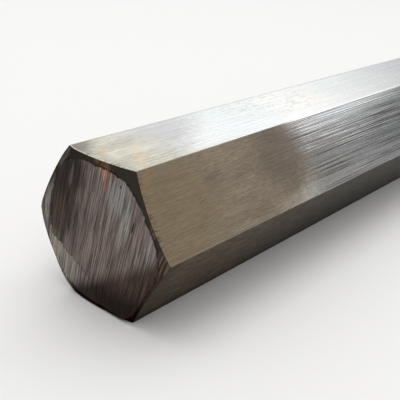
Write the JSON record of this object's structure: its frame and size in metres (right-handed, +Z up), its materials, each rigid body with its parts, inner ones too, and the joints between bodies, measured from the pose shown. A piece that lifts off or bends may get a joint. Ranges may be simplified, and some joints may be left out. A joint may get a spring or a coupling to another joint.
{
  "type": "hexagonal bar stock",
  "caption": "Straight solid steel bar of hexagonal section lying on one flat, sawn and chamfered at one end and square cut at the other; raw stock for nuts and fittings.",
  "frame": {"origin": "on the floor under the middle of the bar: centre of the bounding box's lowest face", "axes": "+X along the bar, from the sawn and chamfered end to the plain end; +Z up, out of the top flat"},
  "size_m": [0.5, 0.0576, 0.05],
  "materials": {
    "drawn_steel": "bright drawn, with fine lines along the bar; darker sawn end"
  },
  "bodies": {
    "root": {"hex_bar": "drawn_steel"}
  },
  "joints": []
}
